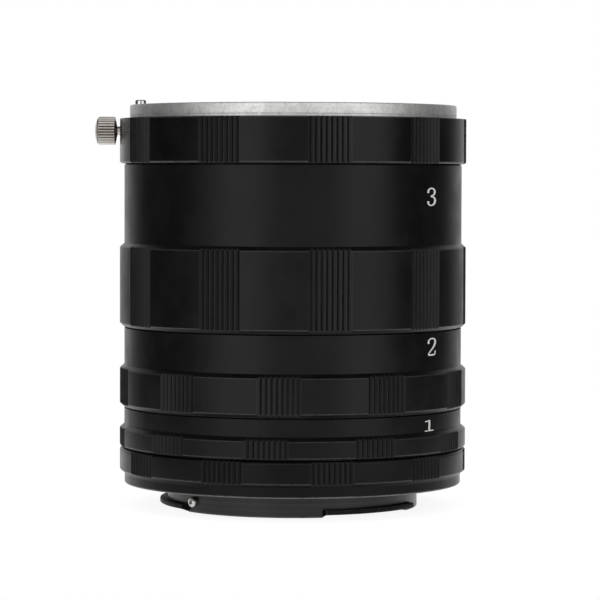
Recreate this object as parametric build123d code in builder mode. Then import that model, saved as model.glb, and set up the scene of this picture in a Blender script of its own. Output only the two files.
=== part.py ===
from build123d import *
import os
from math import cos, pi, radians, sin

# A stack of screw-together macro extension tubes, standing on its camera side
# bayonet. Z is the optical axis and zero is the rim that it stands on. Angles are
# counted from +X towards +Y, so the front of the stack is at -90 and the lock
# knob, which sticks out along -X, is at 180.

# Camera side bayonet
bayonet_d = 43.9
bayonet_wall = 1.35
bayonet_depth = 4.1
lug_count = 3
lug_reach = 1.35
lug_thickness = 0.85
lug_edge = 0.2
lug_arc = 51.0
first_lug_angle = -170.5

# Widths across the rings, from the bayonet outwards and back in
throat_clearance = 0.1
lug_room = 0.3
plate_land = 5.05
plate_ledge = 1.75
grip_step = 0.8
flange_inset = 0.85
thread_shoulder = 1.1
spigot_wall = 1.7

# Screw joints between the rings
spigot_length = 2.2
thread_clearance = 0.05
end_gap = 0.3

# Heights of the camera ring, from the flange up
seat_relief_width = 0.5
seat_relief_depth = 0.2
flange_height = 1.75
flange_cone_height = 0.7
camera_grip_height = 3.45
camera_top_chamfer = 0.35
web_thickness = 2.2

# Lengths of the three tubes and the shapes that they share
tube_1_length = 7.05
tube_2_length = 14.0
tube_3_length = 28.45
shoulder_height = 0.7
shoulder_offset = 0.15
foot_chamfer = 0.8
tube_1_foot_chamfer = 0.5

# Lens ring and its bayonet plate
lens_foot_chamfer = 0.45
plate_thickness = 2.35
plate_edge = 0.25
inner_lug_arc = 56.0
pin_inset = 1.85

# Grip: groups of upright V grooves round each ring, side by side
groove_groups = 10
grooves_per_group = 8
groove_pitch = 1.74
groove_depth = 0.3
ridge_inset = 0.03
camera_grip_angle = -77.1
tube_1_grip_angle = -98.4
tube_2_grip_angle = -94.3
tube_3_grip_angle = -77.9
lens_grip_angle = -78.2

# Screws that hold the plate, and the stop screw of the camera side bayonet
screw_count = 3
first_screw_angle = 9.5
screw_r = 1.0
screw_head_r = 1.8
screw_length = 3.9
screw_sink = 0.05
recess_length = 2.0
recess_width = 0.4
recess_depth = 0.7
hole_clearance = 0.03
cut_overrun = 1.0
stop_angle = -140.0
stop_height = 1.9
stop_head_r = 0.9
stop_head_height = 0.85
stop_shank_r = 0.6
stop_socket_r = 0.35
stop_socket_depth = 0.45

# Leaf springs under the plate's inner lugs
leaf_thickness = 0.25
leaf_play = 0.1
leaf_arc = 44.0
leaf_inset = 0.25
leaf_drop = 0.35
leaf_tab_width = 5.0
leaf_tab_reach = 1.3
recess_wall_gap = 0.5

# Lens lock: pin, knob, its slot and the flat spring below
lock_travel = 2.0
pin_r = 0.975
pin_rise = 0.95
pin_edge = 0.25
sliding_clearance = 0.05
lock_spring_thickness = 0.3
lock_spring_width = 2.2
lock_spring_arc = 40.0
pocket_side = 0.35
stem_rise = 1.05
knob_drop = 2.15
stem_r = 0.785
stem_tip_r = 0.6
stem_tip_length = 1.5
slot_clearance = 0.15
knob_gap = 0.5
knob_r = 2.475
knob_length = 3.1
knob_cone = 0.4
knob_dome = 0.4
knob_tip_r = 1.4
knurl_teeth = 26
knurl_depth = 0.22
anchor_r = 0.6
anchor_length = 2.3
anchor_head_r = 1.0
anchor_head_height = 0.7

# Notch for the camera's own lock pin
notch_width = 2.15
notch_length = 3.0
notch_depth = 1.5

# Radii that follow
bayonet_r = bayonet_d / 2
bayonet_bore_r = bayonet_r - bayonet_wall
lug_r = bayonet_r + lug_reach
throat_r = bayonet_r + throat_clearance
lug_pocket_r = lug_r + lug_room
plate_r = lug_pocket_r + plate_land
grip_r = plate_r + plate_ledge
barrel_r = grip_r - grip_step
flange_r = grip_r - flange_inset
spigot_r = barrel_r - thread_shoulder
bore_r = spigot_r - spigot_wall
socket_r = spigot_r + thread_clearance
recess_r = lug_pocket_r + recess_wall_gap
pin_circle_r = plate_r - pin_inset
screw_circle_r = (lug_pocket_r + plate_r) / 2
seat_relief_r = lug_r + seat_relief_width

# Heights that follow
lug_top = bayonet_depth - plate_thickness - leaf_thickness - leaf_play
rim_step = lug_top - lug_thickness
flange_base = bayonet_depth
flange_top = flange_base + flange_height
camera_grip_base = flange_top + flange_cone_height
camera_grip_top = camera_grip_base + camera_grip_height
tube_1_base = camera_grip_top + camera_top_chamfer
tube_2_base = tube_1_base + tube_1_length
tube_3_base = tube_2_base + tube_2_length
lens_base = tube_3_base + tube_3_length
socket_depth = spigot_length + end_gap
lens_socket_top = lens_base + socket_depth
lock_spring_base = lens_socket_top + lock_travel
lock_spring_top = lock_spring_base + lock_spring_thickness
knob_z = lock_spring_top + stem_rise
plate_base = knob_z + knob_drop
plate_top = plate_base + plate_thickness
pin_top = plate_top + pin_rise

lug_angles = [first_lug_angle + k * 360 / lug_count for k in range(lug_count)]
screw_angles = [first_screw_angle + k * 360 / screw_count for k in range(screw_count)]
anchor_angle = 180 - lock_spring_arc


def axial_plane(angle):
    """Upright plane through the axis: its x runs outwards and its y runs up."""
    a = radians(angle)
    return Plane(origin=(0, 0, 0), x_dir=(cos(a), sin(a), 0), z_dir=(sin(a), -cos(a), 0))


def radial_plane(angle, distance, height):
    """Plane square to a radius: it faces outwards, with its y up."""
    a = radians(angle)
    return Plane(
        origin=(distance * cos(a), distance * sin(a), height),
        x_dir=(-sin(a), cos(a), 0),
        z_dir=(cos(a), sin(a), 0),
    )


def on_circle(radius, angle):
    """Point on a circle round the axis."""
    return (radius * cos(radians(angle)), radius * sin(radians(angle)))


def ring_sector(inner, outer, centre, arc):
    """Flat outline between two radii over part of the circle."""
    with BuildSketch() as sector:
        with BuildLine():
            low = CenterArc((0, 0), inner, centre - arc / 2, arc)
            high = CenterArc((0, 0), outer, centre - arc / 2, arc)
            Line(low @ 0, high @ 0)
            Line(low @ 1, high @ 1)
        make_face()
    return sector.sketch


def groove_pattern(grip_angle):
    """All the grooves of one ring, seen from above: zigzags cut into its edge."""
    points = []
    for k in range(2 * grooves_per_group + 1):
        depth = groove_depth if k % 2 else ridge_inset
        points.append(on_circle(grip_r - depth, (k / 2 - grooves_per_group / 2) * groove_pitch))
    outside = grip_r + groove_depth
    points.append(on_circle(outside, grooves_per_group / 2 * groove_pitch))
    points.append(on_circle(outside, -grooves_per_group / 2 * groove_pitch))
    with BuildSketch() as pattern:
        with PolarLocations(0, groove_groups, start_angle=grip_angle):
            Polygon(*points, align=None)
    return pattern.sketch


def star(outer, inner, teeth):
    """Points of a toothed outline."""
    return [on_circle(inner if k % 2 else outer, k * 180 / teeth) for k in range(2 * teeth)]


# Camera ring: bayonet, flange, grip and screw spigot, turned from one piece
spigot_top = tube_1_base + spigot_length
web_top = flange_base + web_thickness
camera_grooves = groove_pattern(camera_grip_angle)
with BuildPart() as camera_ring:
    with BuildSketch(Plane.XZ):
        with BuildLine():
            Polyline(
                (bayonet_bore_r, 0),
                (bayonet_r, 0),
                (bayonet_r, flange_base + seat_relief_depth),
                (seat_relief_r, flange_base + seat_relief_depth),
                (seat_relief_r, flange_base),
                (flange_r, flange_base),
                (flange_r, flange_top),
                (grip_r, camera_grip_base),
                (grip_r, camera_grip_top),
                (grip_r - camera_top_chamfer, tube_1_base),
                (spigot_r, tube_1_base),
                (spigot_r, spigot_top),
                (bore_r, spigot_top),
                (bore_r, web_top),
                (bayonet_bore_r, web_top),
                close=True,
            )
        make_face()
    revolve(axis=Axis.Z)
    # The rim is stepped back where the lugs are
    for angle in lug_angles:
        with BuildSketch(axial_plane(angle - lug_arc / 2)):
            with BuildLine():
                Polyline(
                    (bayonet_bore_r - cut_overrun, -cut_overrun),
                    (lug_r, -cut_overrun),
                    (lug_r, rim_step),
                    (bayonet_bore_r - cut_overrun, rim_step),
                    close=True,
                )
            make_face()
        revolve(axis=Axis.Z, revolution_arc=lug_arc, mode=Mode.SUBTRACT)
    # Lugs, with their outer edges broken
    for angle in lug_angles:
        with BuildSketch(axial_plane(angle - lug_arc / 2)):
            with BuildLine():
                Polyline(
                    (bayonet_r - bayonet_wall / 2, rim_step),
                    (lug_r - lug_edge, rim_step),
                    (lug_r, rim_step + lug_edge),
                    (lug_r, lug_top - lug_edge),
                    (lug_r - lug_edge, lug_top),
                    (bayonet_r - bayonet_wall / 2, lug_top),
                    close=True,
                )
            make_face()
        revolve(axis=Axis.Z, revolution_arc=lug_arc)
    # Grip grooves
    with BuildSketch(Plane.XY.offset(camera_grip_base)):
        add(camera_grooves)
    extrude(amount=camera_grip_height, mode=Mode.SUBTRACT)
    # Notch for the camera's lock pin
    with BuildSketch(Plane.XY.offset(flange_base)):
        with Locations((-pin_circle_r, 0)):
            SlotOverall(notch_length, notch_width)
    extrude(amount=notch_depth, mode=Mode.SUBTRACT)
    # Hole of the stop screw
    with BuildSketch(radial_plane(stop_angle, bayonet_bore_r - cut_overrun, stop_height)):
        Circle(stop_shank_r + hole_clearance)
    extrude(amount=bayonet_wall + 2 * cut_overrun, mode=Mode.SUBTRACT)

# Stop screw in the bayonet wall: round head with a hexagon socket
with BuildPart() as stop_screw:
    with BuildSketch(radial_plane(stop_angle, bayonet_bore_r + hole_clearance, stop_height)):
        Circle(stop_shank_r)
    extrude(amount=bayonet_wall - hole_clearance)
    with BuildSketch(radial_plane(stop_angle, bayonet_r, stop_height)):
        Circle(stop_head_r)
    extrude(amount=stop_head_height)
    with BuildSketch(radial_plane(stop_angle, bayonet_r + stop_head_height, stop_height)):
        RegularPolygon(stop_socket_r, 6)
    extrude(amount=-stop_socket_depth, mode=Mode.SUBTRACT)


def make_tube(name, base, length, grip_angle, chamfer):
    """One tube: grip below, bare barrel above, socket in its foot, spigot on top."""
    top = base + length
    tip = top + spigot_length
    socket_top = base + socket_depth
    grip_top = base + (length - shoulder_height) / 2 + shoulder_offset
    grooves = groove_pattern(grip_angle)
    with BuildPart() as tube:
        with BuildSketch(Plane.XZ):
            with BuildLine():
                Polyline(
                    (socket_r, base),
                    (grip_r - chamfer, base),
                    (grip_r, base + chamfer),
                    (grip_r, grip_top),
                    (barrel_r, grip_top + shoulder_height),
                    (barrel_r, top),
                    (spigot_r, top),
                    (spigot_r, tip),
                    (bore_r, tip),
                    (bore_r, socket_top),
                    (socket_r, socket_top),
                    close=True,
                )
            make_face()
        revolve(axis=Axis.Z)
        with BuildSketch(Plane.XY.offset(base + chamfer)):
            add(grooves)
        extrude(amount=grip_top - base - chamfer, mode=Mode.SUBTRACT)
    tube.part.label = name
    export_step(tube.part, f"parts/{name}.step")


# Lens ring: socket, grip, seat for the plate and the lens lock's slot and pocket
pocket_width = lock_spring_width + 2 * pocket_side
spring_mid_angle = 180 - lock_spring_arc / 2
slot_height = lock_travel + 2 * (stem_r + slot_clearance)
slot_mid_z = knob_z - lock_travel / 2
spring_end_arc = 180 / pi * lock_spring_width / pin_circle_r
pocket_outline = ring_sector(
    pin_circle_r - pocket_width / 2,
    pin_circle_r + pocket_width / 2,
    spring_mid_angle,
    lock_spring_arc + 2 * spring_end_arc,
)
lens_grooves = groove_pattern(lens_grip_angle)
with BuildPart() as lens_ring:
    with BuildSketch(Plane.XZ):
        with BuildLine():
            Polyline(
                (socket_r, lens_base),
                (grip_r - lens_foot_chamfer, lens_base),
                (grip_r, lens_base + lens_foot_chamfer),
                (grip_r, plate_base),
                (recess_r, plate_base),
                (recess_r, lens_socket_top),
                (socket_r, lens_socket_top),
                close=True,
            )
        make_face()
    revolve(axis=Axis.Z)
    with BuildSketch(Plane.XY.offset(lens_base + lens_foot_chamfer)):
        add(lens_grooves)
    extrude(amount=plate_base - lens_base - lens_foot_chamfer, mode=Mode.SUBTRACT)
    # Pocket of the flat spring, open towards the socket
    with BuildSketch(Plane.XY.offset(lens_socket_top)):
        add(pocket_outline)
    extrude(amount=lock_spring_top - lens_socket_top, mode=Mode.SUBTRACT)
    # Bore of the lock pin, up to the plate
    with BuildSketch(Plane.XY.offset(lock_spring_top)):
        with Locations((-pin_circle_r, 0)):
            Circle(pin_r + sliding_clearance)
    extrude(amount=plate_base - lock_spring_top, mode=Mode.SUBTRACT)
    # Slot that the knob's stem slides in
    with BuildSketch(radial_plane(180, pin_circle_r, slot_mid_z)):
        SlotOverall(slot_height, 2 * (stem_r + slot_clearance), rotation=90)
    extrude(amount=grip_r - pin_circle_r + cut_overrun, mode=Mode.SUBTRACT)
    # Shallow seats for the tabs of the leaf springs
    with BuildSketch(Plane.XY.offset(plate_base)):
        for angle in lug_angles:
            with Locations(Location(on_circle(recess_r, angle) + (0,), (0, 0, angle))):
                Rectangle(
                    2 * (leaf_tab_reach + sliding_clearance),
                    leaf_tab_width + 2 * sliding_clearance,
                )
    extrude(amount=-leaf_thickness, mode=Mode.SUBTRACT)
    # Tapped holes of the plate's screws
    with BuildSketch(Plane.XY.offset(plate_base)):
        with PolarLocations(screw_circle_r, screw_count, start_angle=first_screw_angle):
            Circle(screw_r + hole_clearance)
    extrude(amount=-(screw_length - plate_thickness + end_gap), mode=Mode.SUBTRACT)
    # Tapped hole of the flat spring's screw
    with BuildSketch(Plane.XY.offset(lock_spring_top)):
        with Locations(on_circle(pin_circle_r, anchor_angle)):
            Circle(anchor_r + hole_clearance)
    extrude(amount=anchor_length, mode=Mode.SUBTRACT)

# Lens bayonet: a bare metal plate with three inner lugs
with BuildPart() as lens_bayonet:
    with BuildSketch(Plane.XZ):
        with BuildLine():
            Polyline(
                (lug_pocket_r, plate_base),
                (plate_r, plate_base),
                (plate_r, plate_top - plate_edge),
                (plate_r - plate_edge, plate_top),
                (lug_pocket_r, plate_top),
                close=True,
            )
        make_face()
    revolve(axis=Axis.Z)
    for angle in lug_angles:
        with BuildSketch(axial_plane(angle - inner_lug_arc / 2)):
            with BuildLine():
                Polyline(
                    (throat_r, plate_base),
                    (lug_pocket_r + lug_room, plate_base),
                    (lug_pocket_r + lug_room, plate_top),
                    (throat_r, plate_top),
                    close=True,
                )
            make_face()
        revolve(axis=Axis.Z, revolution_arc=inner_lug_arc)
    with BuildSketch(Plane.XY.offset(plate_base)):
        with Locations((-pin_circle_r, 0)):
            Circle(pin_r + sliding_clearance)
    extrude(amount=plate_thickness, mode=Mode.SUBTRACT)
    with Locations(Plane.XY.offset(plate_top)):
        with PolarLocations(screw_circle_r, screw_count, start_angle=first_screw_angle):
            CounterSinkHole(
                radius=screw_r + hole_clearance,
                counter_sink_radius=screw_head_r + screw_sink,
                depth=plate_thickness,
                counter_sink_angle=90,
            )


def make_plate_screw(name, angle):
    """Countersunk cross-head screw, just below the face of the plate."""
    x, y = on_circle(screw_circle_r, angle)
    head_top = plate_top - screw_sink
    head_height = screw_head_r - screw_r
    tip = plate_top - screw_length
    with BuildPart() as screw:
        with BuildSketch(Plane(origin=(x, y, 0), x_dir=(1, 0, 0), z_dir=(0, -1, 0))):
            with BuildLine():
                Polyline(
                    (0, tip),
                    (screw_r, tip),
                    (screw_r, head_top - head_height),
                    (screw_head_r, head_top),
                    (0, head_top),
                    close=True,
                )
            make_face()
        revolve(axis=Axis((x, y, 0), (0, 0, 1)))
        with BuildSketch(Plane(origin=(x, y, head_top), x_dir=(1, 0, 0), z_dir=(0, 0, 1))):
            Rectangle(recess_length, recess_width, rotation=angle)
            Rectangle(recess_width, recess_length, rotation=angle)
        extrude(amount=-recess_depth, mode=Mode.SUBTRACT)
    screw.part.label = name
    export_step(screw.part, f"parts/{name}.step")


def make_leaf_spring(name, angle):
    """Bent strip under an inner lug, its tab clamped between ring and plate."""
    inner = throat_r + leaf_inset
    outer = recess_r - leaf_inset
    half = recess_r * sin(radians(leaf_arc / 2))
    flat = leaf_tab_width / 2
    strip = ring_sector(inner, outer, angle, leaf_arc)
    with BuildPart() as leaf:
        with BuildSketch(radial_plane(angle, 0, plate_base)):
            with BuildLine():
                Polyline(
                    (-half, -leaf_drop),
                    (-flat, 0),
                    (flat, 0),
                    (half, -leaf_drop),
                    (half, -leaf_drop - leaf_thickness),
                    (flat, -leaf_thickness),
                    (-flat, -leaf_thickness),
                    (-half, -leaf_drop - leaf_thickness),
                    close=True,
                )
            make_face()
        extrude(amount=recess_r + leaf_tab_reach)
        with BuildSketch(Plane.XY.offset(plate_base - leaf_drop - leaf_thickness)):
            add(strip)
            with Locations(Location(on_circle(recess_r, angle) + (0,), (0, 0, angle))):
                Rectangle(2 * leaf_tab_reach, leaf_tab_width)
        extrude(amount=leaf_drop + leaf_thickness, mode=Mode.INTERSECT)
    leaf.part.label = name
    export_step(leaf.part, f"parts/{name}.step")


# Lock pin: it stands in the ring and through the plate, on the flat spring
with BuildPart() as lock_pin:
    with BuildSketch(Plane(origin=(-pin_circle_r, 0, 0), x_dir=(1, 0, 0), z_dir=(0, -1, 0))):
        with BuildLine():
            Polyline(
                (0, lock_spring_top),
                (pin_r, lock_spring_top),
                (pin_r, pin_top - pin_edge),
                (pin_r - pin_edge, pin_top),
                (0, pin_top),
                close=True,
            )
        make_face()
    revolve(axis=Axis((-pin_circle_r, 0, 0), (0, 0, 1)))
    with BuildSketch(radial_plane(180, pin_circle_r + pin_r - stem_tip_length, knob_z)):
        Circle(stem_tip_r + hole_clearance)
    extrude(amount=stem_tip_length + cut_overrun, mode=Mode.SUBTRACT)

# Lock knob: threaded tip, stem and straight-knurled head, turned from one piece
stem_start = pin_circle_r + pin_r
stem_end = stem_start - stem_tip_length + hole_clearance
head_start = grip_r + knob_gap
knurl_start = head_start + knob_cone
knurl_end = knurl_start + knob_length
root_r = knob_r - knurl_depth
with BuildPart() as lock_knob:
    with BuildSketch(Plane(origin=(0, 0, knob_z), x_dir=(-1, 0, 0), z_dir=(0, 1, 0))):
        with BuildLine():
            Polyline(
                (stem_end, 0),
                (stem_end, stem_tip_r),
                (stem_start, stem_tip_r),
                (stem_start, stem_r),
                (head_start, stem_r),
                (knurl_start, root_r),
                (knurl_end, root_r),
                (knurl_end + knob_dome, knob_tip_r),
                (knurl_end + knob_dome, 0),
                close=True,
            )
        make_face()
    revolve(axis=Axis((0, 0, knob_z), (-1, 0, 0)))
    with BuildSketch(radial_plane(180, knurl_start, knob_z)):
        Polygon(*star(knob_r, root_r, knurl_teeth), align=None)
    extrude(amount=knob_length)

# Flat spring of the lens lock, a strip that follows the ring
spring_half = lock_spring_width / 2
spring_outline = ring_sector(
    pin_circle_r - spring_half,
    pin_circle_r + spring_half,
    spring_mid_angle,
    lock_spring_arc + spring_end_arc,
)
with BuildPart() as lock_spring:
    with BuildSketch(Plane.XY.offset(lock_spring_base)):
        add(spring_outline)
        with Locations(on_circle(pin_circle_r, anchor_angle)):
            Circle(anchor_r + hole_clearance, mode=Mode.SUBTRACT)
    extrude(amount=lock_spring_thickness)

# Screw at the flat spring's fixed end, driven up into the ring
with BuildPart() as lock_spring_screw:
    with BuildSketch(Plane.XY.offset(lock_spring_base)):
        with Locations(on_circle(pin_circle_r, anchor_angle)):
            Circle(anchor_head_r)
    extrude(amount=-anchor_head_height)
    with BuildSketch(Plane.XY.offset(lock_spring_base)):
        with Locations(on_circle(pin_circle_r, anchor_angle)):
            Circle(anchor_r)
    extrude(amount=lock_spring_thickness + anchor_length - hole_clearance)

os.makedirs("parts", exist_ok=True)
camera_ring.part.label = "camera_ring"
export_step(camera_ring.part, "parts/camera_ring.step")
stop_screw.part.label = "stop_screw"
export_step(stop_screw.part, "parts/stop_screw.step")
make_tube("tube_1", tube_1_base, tube_1_length, tube_1_grip_angle, tube_1_foot_chamfer)
make_tube("tube_2", tube_2_base, tube_2_length, tube_2_grip_angle, foot_chamfer)
make_tube("tube_3", tube_3_base, tube_3_length, tube_3_grip_angle, foot_chamfer)
lens_ring.part.label = "lens_ring"
export_step(lens_ring.part, "parts/lens_ring.step")
lens_bayonet.part.label = "lens_bayonet"
export_step(lens_bayonet.part, "parts/lens_bayonet.step")
for number, angle in enumerate(screw_angles, start=1):
    make_plate_screw(f"bayonet_screw_{number}", angle)
for number, angle in enumerate(lug_angles, start=1):
    make_leaf_spring(f"leaf_spring_{number}", angle)
lock_pin.part.label = "lock_pin"
export_step(lock_pin.part, "parts/lock_pin.step")
lock_knob.part.label = "lock_knob"
export_step(lock_knob.part, "parts/lock_knob.step")
lock_spring.part.label = "lock_spring"
export_step(lock_spring.part, "parts/lock_spring.step")
lock_spring_screw.part.label = "lock_spring_screw"
export_step(lock_spring_screw.part, "parts/lock_spring_screw.step")
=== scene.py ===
from math import cos, pi, radians, sin

import bpy
import numpy as np
from mathutils import Matrix, Quaternion, Vector


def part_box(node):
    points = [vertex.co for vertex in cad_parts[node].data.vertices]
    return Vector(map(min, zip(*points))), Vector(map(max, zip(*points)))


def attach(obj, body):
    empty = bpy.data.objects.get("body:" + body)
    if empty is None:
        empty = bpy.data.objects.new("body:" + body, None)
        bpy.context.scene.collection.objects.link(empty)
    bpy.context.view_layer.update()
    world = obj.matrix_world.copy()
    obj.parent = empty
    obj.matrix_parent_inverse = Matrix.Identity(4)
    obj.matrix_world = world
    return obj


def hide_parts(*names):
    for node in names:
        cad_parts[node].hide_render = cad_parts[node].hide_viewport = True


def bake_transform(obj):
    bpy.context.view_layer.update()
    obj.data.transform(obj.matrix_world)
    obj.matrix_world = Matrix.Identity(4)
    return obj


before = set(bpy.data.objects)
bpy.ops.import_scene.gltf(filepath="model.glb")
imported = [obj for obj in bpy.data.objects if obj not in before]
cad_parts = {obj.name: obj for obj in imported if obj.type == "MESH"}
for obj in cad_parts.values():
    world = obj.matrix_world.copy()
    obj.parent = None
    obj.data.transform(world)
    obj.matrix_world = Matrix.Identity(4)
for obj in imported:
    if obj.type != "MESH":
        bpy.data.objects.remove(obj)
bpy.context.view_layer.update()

# A stack of macro extension tubes. Sizes are in millimetres and become metres where a mesh is
# made. Angles run from +X towards +Y, so the front of the stack is at -90 and the knob at 180.

MM = 0.001

# Radii of the rings
bayonet_bore_r = 20.6
bayonet_r = 21.95
lug_r = 23.3
throat_r = 22.05
lug_pocket_r = 23.6
seat_relief_r = 23.8
recess_r = 24.1
screw_circle_r = 26.125
pin_circle_r = 26.8
bore_r = 26.8
spigot_r = 28.5
socket_r = 28.55
plate_r = 28.65
flange_r = 29.55
barrel_r = 29.6
grip_r = 30.4

# Heights of the turned steps, from each ring's own foot where they repeat
spigot_length = 2.2
socket_depth = 2.5
lens_foot_chamfer = 0.45
foot_slit = 0.22
gap_chamfer = 0.1
shoulder_height = 0.7
shoulder_offset = 0.15
camera_top_chamfer = 0.35
flange_base = 4.1
flange_top = 5.85
camera_grip_base = 6.55
web_top = 6.3
seat_relief_depth = 0.2
edge_break = 0.15
lip_break = 0.12

# Bayonet lugs
lug_count = 3
first_lug_angle = -170.5
lug_arc = 51.0
inner_lug_arc = 56.0
lug_base = 0.55
lug_top = 1.4
lug_end_arc = 0.9

# Grip grooves
groove_groups = 10
grooves_per_group = 8
groove_pitch = 1.74
groove_depth = 0.3
groove_flat = 0.06
ridge_inset = 0.03
camera_grip_angle = -77.1
lens_grip_angle = -78.2

# Wear of the edges: it starts at a turn in radians per millimetre and is full further on. The
# ridges of the grips and their upper edges wear less.
wear_start = 0.8
wear_range = 1.6
ridge_wear = 0.15
upper_edge_wear = 0.3

# Screw threads between the rings
thread_pitch = 0.75
thread_height = 0.25
thread_clear = 0.35
thread_fade = 0.08
spigot_taper = 0.3
thread_core = spigot_r - thread_height
thread_root = socket_r + thread_height

# Ridges that keep the bores dark
baffle_pitch = 0.6
baffle_depth = 0.2

# Plate screws and stop screw
screw_count = 3
first_screw_angle = 9.5
screw_head_r = 1.8
screw_hole_r = 1.85
screw_r = 1.0
screw_sink = 0.05
stop_angle = -140.0
stop_height = 1.9
stop_head_r = 0.9
stop_head_height = 0.85
stop_shank_r = 0.6
stop_shank_length = 1.25
stop_socket_r = 0.44
stop_socket_depth = 0.6

# Lens lock
pin_r = 0.975
pin_hole_r = 1.025
stem_r = 0.785
slot_half_width = 0.935
lock_travel = 2.0
knob_r = 2.475
knob_head_start = 30.9
knob_knurl_start = 31.3
knob_knurl_end = 34.1
knob_end = 34.8
knurl_teeth = 28
knurl_depth = 0.3
# The knurl's valleys are darker from their foot up to this depth below the top
knurl_dark_depth = 0.15
spring_width = 2.2
spring_arc = 40.0
pocket_side = 0.35
anchor_hole_r = 0.63
anchor_head_r = 1.0

# Notch for the camera's own lock pin
notch_width = 2.15
notch_length = 3.0
notch_depth = 1.5

# Fineness of the meshes: points round a plain and a lugged inner face, rows on a slope, the row
# that keeps a long side flat next to a rounding, and the angles from which an edge is sharp
inner_count = 144
lugged_count = 180
row_step = 0.05
support_row = 0.12
support_room = 0.4
sharp_angle = 28.0
pin_sharp_angle = 35.0
thread_sharp_angle = 80.0


def span(node):
    """Lowest and highest point of a node, in millimetres."""
    low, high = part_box(node)
    return low[2] / MM, high[2] / MM


lens_base = span("lens_ring")[0]
plate_base, plate_top = span("lens_bayonet")
lens_socket_top = lens_base + socket_depth
spring_base, spring_top = span("lock_spring")
pin_top = span("lock_pin")[1]
knob_z = sum(span("lock_knob")) / 2
lug_angles = [first_lug_angle + k * 360 / lug_count for k in range(lug_count)]


# ---- node trees ----

def put(socket, value):
    """Links a socket to an input, or sets it to a plain value. A colour has three parts."""
    if isinstance(value, bpy.types.NodeSocket):
        socket.id_data.links.new(value, socket)
    elif value is not None:
        socket.default_value = (*value, 1.0) if socket.type == "RGBA" else value


def add(tree, kind, *inputs, **named):
    """Adds a node. Its inputs are given in order, or by name with _ for a space, and a name in
    small letters is a setting of the node."""
    node = tree.nodes.new(kind)
    for name, value in named.items():
        if name.islower():
            setattr(node, name, value)
    for key, value in enumerate(inputs):
        put(node.inputs[key], value)
    for name, value in named.items():
        if not name.islower():
            put(node.inputs[name.replace("_", " ")], value)
    return node


def output(tree, kind, *inputs, **named):
    """Adds a node and gives its first output."""
    return add(tree, kind, *inputs, **named).outputs[0]


def tree_of(values):
    """The tree that the sockets among some values are in."""
    return next(value.id_data for value in values if isinstance(value, bpy.types.NodeSocket))


def maths(operation, *values):
    return output(tree_of(values), "ShaderNodeMath", *values, operation=operation)


def maths_of(operation):
    return lambda *values: maths(operation, *values)


plus, minus, times, over, least, most = map(
    maths_of, ("ADD", "SUBTRACT", "MULTIPLY", "DIVIDE", "MINIMUM", "MAXIMUM")
)


def ramp(value, low, high, to_low=0.0, to_high=1.0, kind="SMOOTHSTEP"):
    """Step of a value between two levels."""
    levels = {"From_Min": low, "From_Max": high, "To_Min": to_low, "To_Max": to_high}
    return output(value.id_data, "ShaderNodeMapRange", value, interpolation_type=kind, **levels)


def split(place):
    return add(place.id_data, "ShaderNodeSeparateXYZ", place).outputs


def vector(*parts):
    return output(tree_of(parts), "ShaderNodeCombineXYZ", *parts)


def radius_of(x, y):
    return maths("SQRT", plus(times(x, x), times(y, y)))


def noise(place, scale, detail, rough=0.5):
    tree = place.id_data
    return output(tree, "ShaderNodeTexNoise", Vector=place, Scale=scale, Detail=detail, Roughness=rough)


def new_group(name, kind, inputs, outputs):
    """Empty node group with the sockets of its input and output nodes. An input is given with
    its number or its socket type, and an underscore in its name becomes a space."""
    tree = bpy.data.node_groups.new(name, kind)
    numbers = {int: "NodeSocketInt", float: "NodeSocketFloat"}
    for label, value in inputs.items():
        socket = numbers.get(type(value), value)
        item = tree.interface.new_socket(label.replace("_", " "), in_out="INPUT", socket_type=socket)
        if type(value) in numbers:
            item.default_value = value
    for label, socket in outputs.items():
        tree.interface.new_socket(label, in_out="OUTPUT", socket_type=socket)
    return tree, tree.nodes.new("NodeGroupInput").outputs, tree.nodes.new("NodeGroupOutput").inputs


def shape_group(name, **sizes):
    """Group that makes a shape from a geometry, sizes and a material."""
    inputs = {"Geometry": "NodeSocketGeometry", **sizes, "Material": "NodeSocketMaterial"}
    return new_group(name, "GeometryNodeTree", inputs, {"Geometry": "NodeSocketGeometry"})


def close_shape(geometry, given, end):
    """Ends a shape tree: instances become real and take the material."""
    tree = geometry.id_data
    real = output(tree, "GeometryNodeRealizeInstances", geometry)
    put(end[0], output(tree, "GeometryNodeSetMaterial", Geometry=real, Material=given["Material"]))
    return tree


def sweep(curve, size, corners):
    """Bar along a curve, as thick as a size that may change on the way."""
    tree = curve.id_data
    sized = output(tree, "GeometryNodeSetCurveRadius", Curve=curve, Radius=size)
    outline = output(tree, "GeometryNodeCurvePrimitiveCircle", Resolution=corners, Radius=1.0)
    thick = output(tree, "GeometryNodeInputRadius")
    return output(
        tree, "GeometryNodeCurveToMesh", Curve=sized, Profile_Curve=outline, Scale=thick, Fill_Caps=True
    )


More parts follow.
